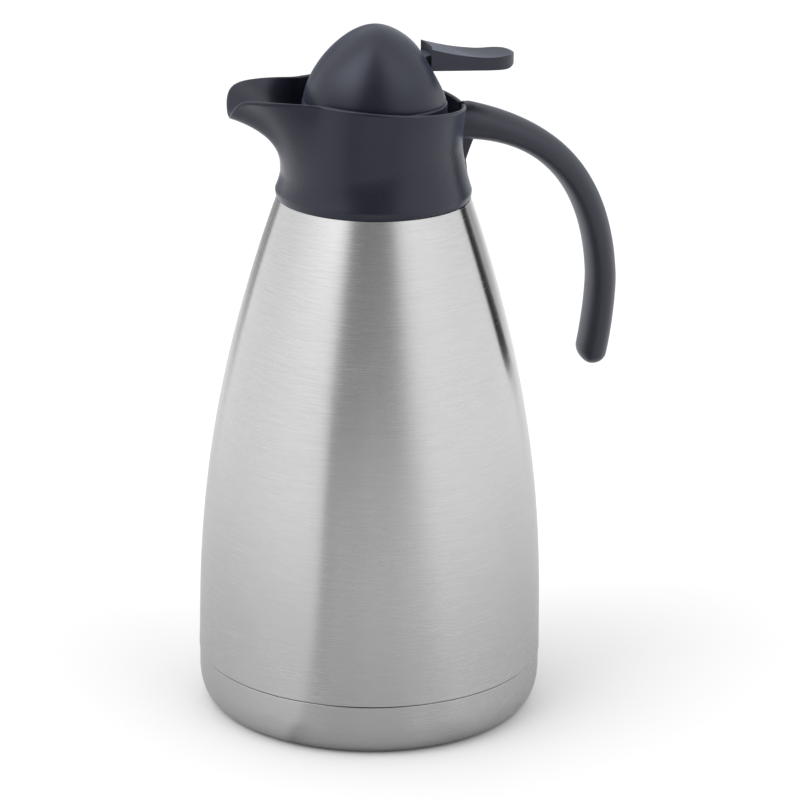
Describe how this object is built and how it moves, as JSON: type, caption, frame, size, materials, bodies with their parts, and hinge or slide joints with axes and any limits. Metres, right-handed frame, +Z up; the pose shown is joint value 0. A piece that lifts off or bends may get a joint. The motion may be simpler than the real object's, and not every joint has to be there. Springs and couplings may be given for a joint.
{
  "type": "insulated coffee jug",
  "caption": "Vacuum-insulated steel jug with a plastic pouring collar, an open-ended handle and a thumb-lever screw stopper.",
  "frame": {"origin": "centre of the base on the table, on the jug's axis", "axes": "+Z up along the jug's axis, +X towards the handle, -X towards the spout"},
  "size_m": [0.1755, 0.1438, 0.2889],
  "materials": {
    "body_steel": "brushed round the body, satin",
    "flask_steel": "plain rolled sheet, satin",
    "collar_plastic": "moulded charcoal polypropylene, fine matt texture",
    "handle_plastic": "moulded charcoal polypropylene, satin grip",
    "dome_plastic": "moulded charcoal polypropylene, fine matt texture",
    "lever_plastic": "moulded charcoal polypropylene, satin",
    "stopper_plastic": "moulded black polypropylene",
    "seal_silicone": "translucent food-grade silicone",
    "foot_rubber": "black moulded rubber",
    "fittings": "bright stainless steel"
  },
  "bodies": {
    "jug": {"outer_shell": "body_steel", "base_cup": "body_steel", "foot_ring": "foot_rubber", "vacuum_base": "flask_steel", "seal_plug": "fittings", "getter": "fittings", "inner_flask": "flask_steel", "collar": "collar_plastic", "collar_gasket": "seal_silicone", "lock_ring": "collar_plastic", "neck_ring": "collar_plastic", "handle": "handle_plastic"},
    "stopper_carrier": {"stopper_seal": "seal_silicone"},
    "stopper": {"stopper_plug": "stopper_plastic", "valve_seat": "stopper_plastic", "rod_seal": "seal_silicone", "dome_cap": "dome_plastic", "dome_screws": "fittings", "lever_pin": "fittings"},
    "lever": {"thumb_lever": "lever_plastic"},
    "valve": {"valve_rod": "fittings", "rod_head": "stopper_plastic", "valve_disc": "stopper_plastic", "valve_seal": "seal_silicone", "valve_nut": "fittings", "valve_spring": "fittings"}
  },
  "joints": [
    {"name": "stopper_lift", "type": "slide", "parent": "jug", "child": "stopper_carrier", "axis": [0, 0, 1], "range_m": [0, 0.012]},
    {"name": "stopper_twist", "type": "hinge", "parent": "stopper_carrier", "child": "stopper", "pos_m": [0, 0, 0.24], "axis": [0, 0, 1], "range_deg": [0, 360]},
    {"name": "lever_press", "type": "hinge", "parent": "stopper", "child": "lever", "pos_m": [0.0165, 0, 0.2715], "axis": [0, 1, 0], "range_deg": [0, 14], "stiffness_Nm_per_rad": 0.4, "springref_deg": -11.46},
    {"name": "valve_lift", "type": "slide", "parent": "stopper", "child": "valve", "axis": [0, 0, 1], "range_m": [0, 0.0042], "deforming": ["valve_spring"]}
  ],
  "couplings": [
    {"joint": "stopper_lift", "follows": "stopper_twist", "m_per_rad": 0.0019098},
    {"joint": "valve_lift", "follows": "lever_press", "m_per_rad": 0.0165}
  ]
}
